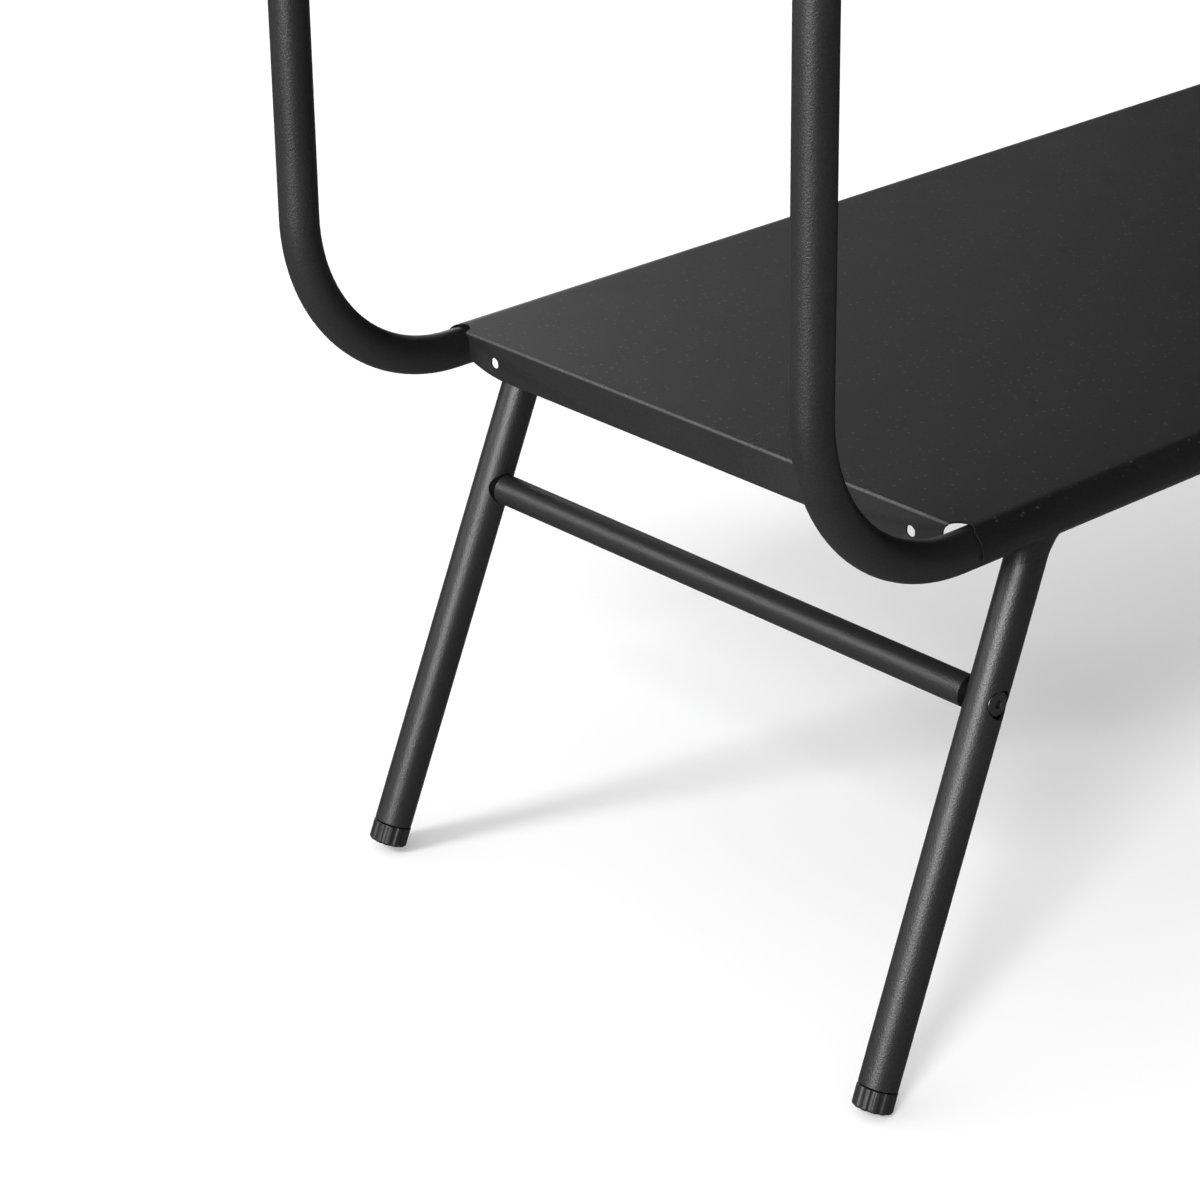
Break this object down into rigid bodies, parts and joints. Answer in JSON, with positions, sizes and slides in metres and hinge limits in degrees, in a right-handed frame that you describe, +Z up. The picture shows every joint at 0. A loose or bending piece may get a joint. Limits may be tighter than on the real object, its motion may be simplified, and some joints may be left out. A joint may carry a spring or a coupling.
{
  "type": "valet stand",
  "caption": "Tubular steel valet stand with two rounded hoops on splayed legs, a hook-on sheet-metal shoe shelf, a central hanging rail and screw-in levelling feet.",
  "frame": {"origin": "middle of the overall length and depth, on the floor that the feet stand on", "axes": "+X along the shelf and the hoops, -Y to the front, +Z up"},
  "size_m": [1.2, 0.4782, 1.5],
  "materials": {
    "frame_coat": "fine-textured matt black powder coat on steel tube",
    "shelf_coat": "fine-textured matt black powder coat on sheet steel",
    "saddle_plastic": "black moulded plastic",
    "foot_plastic": "black ribbed moulded plastic, slight sheen",
    "black_bolt": "black zinc-plated steel, semi-gloss",
    "zinc_steel": "bright zinc-plated steel"
  },
  "bodies": {
    "frame": {"front_lower_hoop": "frame_coat", "rear_lower_hoop": "frame_coat", "front_upper_hoop": "frame_coat", "rear_upper_hoop": "frame_coat", "front_left_leg": "frame_coat", "front_right_leg": "frame_coat", "rear_left_leg": "frame_coat", "rear_right_leg": "frame_coat", "front_left_leg_weld": "frame_coat", "front_right_leg_weld": "frame_coat", "rear_left_leg_weld": "frame_coat", "rear_right_leg_weld": "frame_coat", "left_rail_weld": "frame_coat", "right_rail_weld": "frame_coat", "lower_left_crossbar": "frame_coat", "lower_right_crossbar": "frame_coat", "top_left_crossbar": "frame_coat", "top_right_crossbar": "frame_coat", "hanging_rail": "frame_coat", "crossbar_saddles": "saddle_plastic", "leg_plugs": "saddle_plastic", "crossbar_inserts": "zinc_steel", "bolt_sleeves": "zinc_steel", "hoop_spigots": "zinc_steel", "connector_bolts": "black_bolt", "spigot_screws": "black_bolt", "shelf": "shelf_coat"},
    "front_left_stem": {"front_left_stem": "zinc_steel"},
    "front_left_foot": {"front_left_foot": "foot_plastic"},
    "front_right_stem": {"front_right_stem": "zinc_steel"},
    "front_right_foot": {"front_right_foot": "foot_plastic"},
    "rear_left_stem": {"rear_left_stem": "zinc_steel"},
    "rear_left_foot": {"rear_left_foot": "foot_plastic"},
    "rear_right_stem": {"rear_right_stem": "zinc_steel"},
    "rear_right_foot": {"rear_right_foot": "foot_plastic"}
  },
  "joints": [
    {"name": "front_left_screw_travel", "type": "slide", "parent": "frame", "child": "front_left_stem", "axis": [-0.3745, -0.0236, -0.9269], "range_m": [0, 0.0075]},
    {"name": "front_left_foot_turn", "type": "hinge", "parent": "front_left_stem", "child": "front_left_foot", "pos_m": [-0.53231, -0.22645, 0.01057], "axis": [-0.3745, -0.0236, -0.9269], "range_deg": [0, 2160]},
    {"name": "front_right_screw_travel", "type": "slide", "parent": "frame", "child": "front_right_stem", "axis": [0.3745, -0.0236, -0.9269], "range_m": [0, 0.0075]},
    {"name": "front_right_foot_turn", "type": "hinge", "parent": "front_right_stem", "child": "front_right_foot", "pos_m": [0.53231, -0.22645, 0.01057], "axis": [0.3745, -0.0236, -0.9269], "range_deg": [0, 2160]},
    {"name": "rear_left_screw_travel", "type": "slide", "parent": "frame", "child": "rear_left_stem", "axis": [-0.3745, 0.0236, -0.9269], "range_m": [0, 0.0075]},
    {"name": "rear_left_foot_turn", "type": "hinge", "parent": "rear_left_stem", "child": "rear_left_foot", "pos_m": [-0.53231, 0.22645, 0.01057], "axis": [-0.3745, 0.0236, -0.9269], "range_deg": [0, 2160]},
    {"name": "rear_right_screw_travel", "type": "slide", "parent": "frame", "child": "rear_right_stem", "axis": [0.3745, 0.0236, -0.9269], "range_m": [0, 0.0075]},
    {"name": "rear_right_foot_turn", "type": "hinge", "parent": "rear_right_stem", "child": "rear_right_foot", "pos_m": [0.53231, 0.22645, 0.01057], "axis": [0.3745, 0.0236, -0.9269], "range_deg": [0, 2160]}
  ],
  "couplings": [
    {"joint": "front_left_foot_turn", "follows": "front_left_screw_travel", "rad_per_m": 5026.5},
    {"joint": "front_right_foot_turn", "follows": "front_right_screw_travel", "rad_per_m": 5026.5},
    {"joint": "rear_left_foot_turn", "follows": "rear_left_screw_travel", "rad_per_m": 5026.5},
    {"joint": "rear_right_foot_turn", "follows": "rear_right_screw_travel", "rad_per_m": 5026.5}
  ]
}
